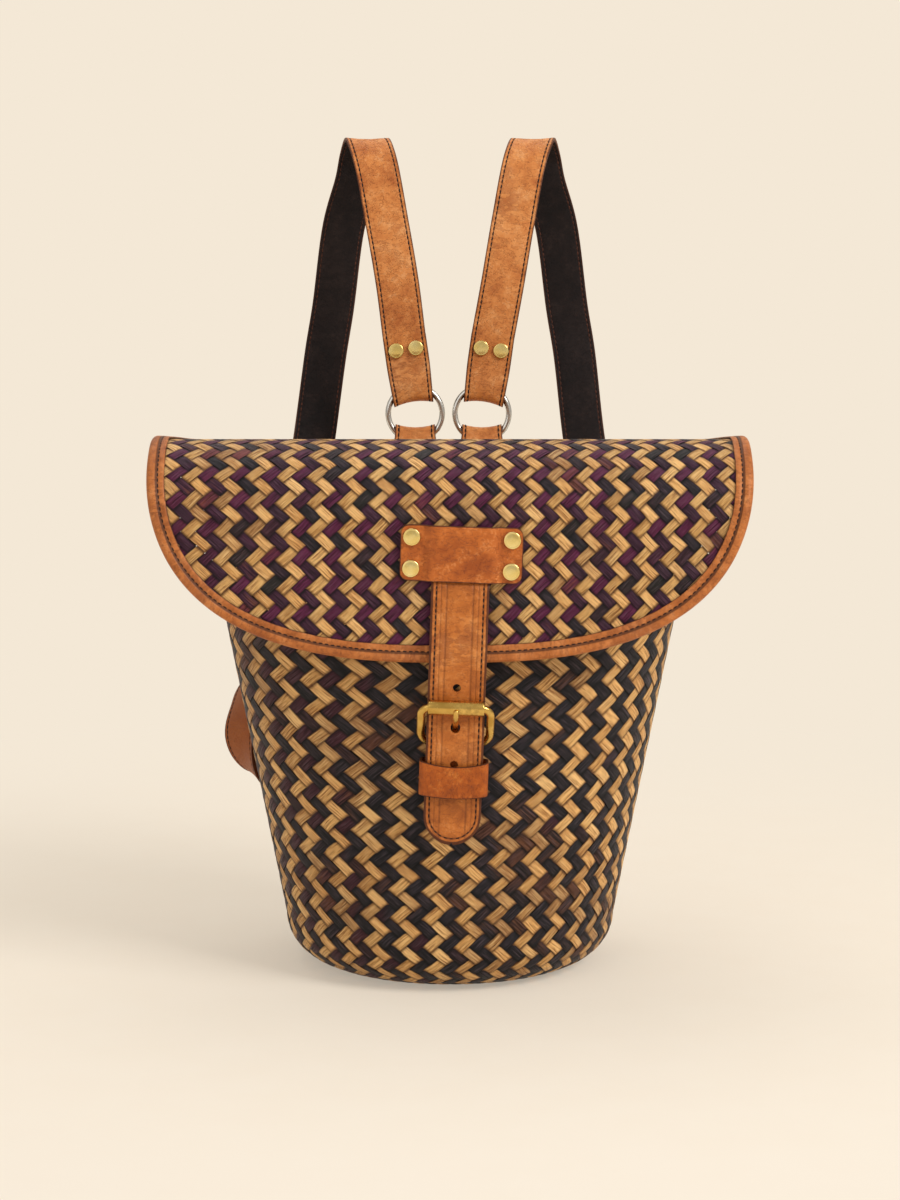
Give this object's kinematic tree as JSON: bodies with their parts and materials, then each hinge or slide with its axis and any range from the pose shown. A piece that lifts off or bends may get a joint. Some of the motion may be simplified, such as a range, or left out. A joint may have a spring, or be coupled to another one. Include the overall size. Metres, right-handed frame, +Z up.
{
  "type": "round woven backpack",
  "caption": "Round plaited basket backpack with a bound flap, a buckled leather closing strap and two leather shoulder straps on rings.",
  "frame": {"origin": "centre of the flat round base, on the ground", "axes": "+Z up, +X to the right seen from the front, +Y from the flap's front towards the wearer's back"},
  "size_m": [0.3116, 0.281, 0.4552],
  "materials": {
    "woven_cane": "plaited strips, satin",
    "tan_leather": "waxed, stitched",
    "lining_leather": "matt black",
    "rivet_brass": "polished, worn",
    "buckle_brass": "antique",
    "ring_nickel": "satin nickel"
  },
  "bodies": {
    "basket": {"basket_shell": "woven_cane", "buckle_strap": "tan_leather", "buckle_strap_rivet_1": "rivet_brass", "buckle_strap_rivet_2": "rivet_brass", "hinge_strip": "tan_leather", "rim_binding": "tan_leather", "ring_tab_left": "tan_leather", "ring_tab_left_rivet_1": "rivet_brass", "ring_tab_left_rivet_2": "rivet_brass", "ring_tab_right": "tan_leather", "ring_tab_right_rivet_1": "rivet_brass", "ring_tab_right_rivet_2": "rivet_brass", "shoulder_lining_left": "lining_leather", "shoulder_lining_right": "lining_leather", "shoulder_strap_left": "tan_leather", "shoulder_strap_left_rivet_1": "rivet_brass", "shoulder_strap_left_rivet_2": "rivet_brass", "shoulder_strap_right": "tan_leather", "shoulder_strap_right_rivet_1": "rivet_brass", "shoulder_strap_right_rivet_2": "rivet_brass", "strap_end_left_rivet_1": "rivet_brass", "strap_end_left_rivet_2": "rivet_brass", "strap_end_right_rivet_1": "rivet_brass", "strap_end_right_rivet_2": "rivet_brass", "strap_keeper": "tan_leather"},
    "flap": {"flap_panel": "woven_cane", "flap_binding": "tan_leather", "closure_plate": "tan_leather", "closure_strap": "tan_leather", "closure_rivet_1": "rivet_brass", "closure_rivet_2": "rivet_brass", "closure_rivet_3": "rivet_brass", "closure_rivet_4": "rivet_brass"},
    "buckle_frame": {"buckle_frame": "buckle_brass"},
    "buckle_roller": {"buckle_roller": "buckle_brass"},
    "buckle_prong": {"buckle_prong": "buckle_brass"},
    "ring_left": {"ring_left": "ring_nickel"},
    "ring_right": {"ring_right": "ring_nickel"}
  },
  "joints": [
    {"name": "flap_hinge", "type": "hinge", "parent": "basket", "child": "flap", "pos_m": [0, 0.101, 0.279], "axis": [-1, 0, 0], "range_deg": [0, 80], "deforming": ["closure_strap", "hinge_strip"]},
    {"name": "buckle_frame_hinge", "type": "hinge", "parent": "basket", "child": "buckle_frame", "pos_m": [0.00243, -0.1002, 0.13836], "axis": [0.9994, 0, -0.0349], "range_deg": [0, 56]},
    {"name": "buckle_prong_hinge", "type": "hinge", "parent": "buckle_frame", "child": "buckle_prong", "pos_m": [0.00243, -0.1002, 0.13836], "axis": [0.9994, 0, -0.0349], "range_deg": [0, 10]},
    {"name": "buckle_roller_spin", "type": "hinge", "parent": "buckle_frame", "child": "buckle_roller", "pos_m": [0.00315, -0.11309, 0.15906], "axis": [0.9994, 0, -0.0349], "continuous": true},
    {"name": "ring_left_spin", "type": "hinge", "parent": "basket", "child": "ring_left", "pos_m": [-0.0204, 0.111, 0.2955], "axis": [0, 1, 0], "continuous": true},
    {"name": "ring_right_spin", "type": "hinge", "parent": "basket", "child": "ring_right", "pos_m": [0.0187, 0.111, 0.2955], "axis": [0, 1, 0], "continuous": true}
  ],
  "couplings": [
    {"joint": "buckle_frame_hinge", "follows": "flap_hinge", "ratio": 0.7},
    {"joint": "buckle_prong_hinge", "follows": "flap_hinge", "ratio": 0.125}
  ]
}
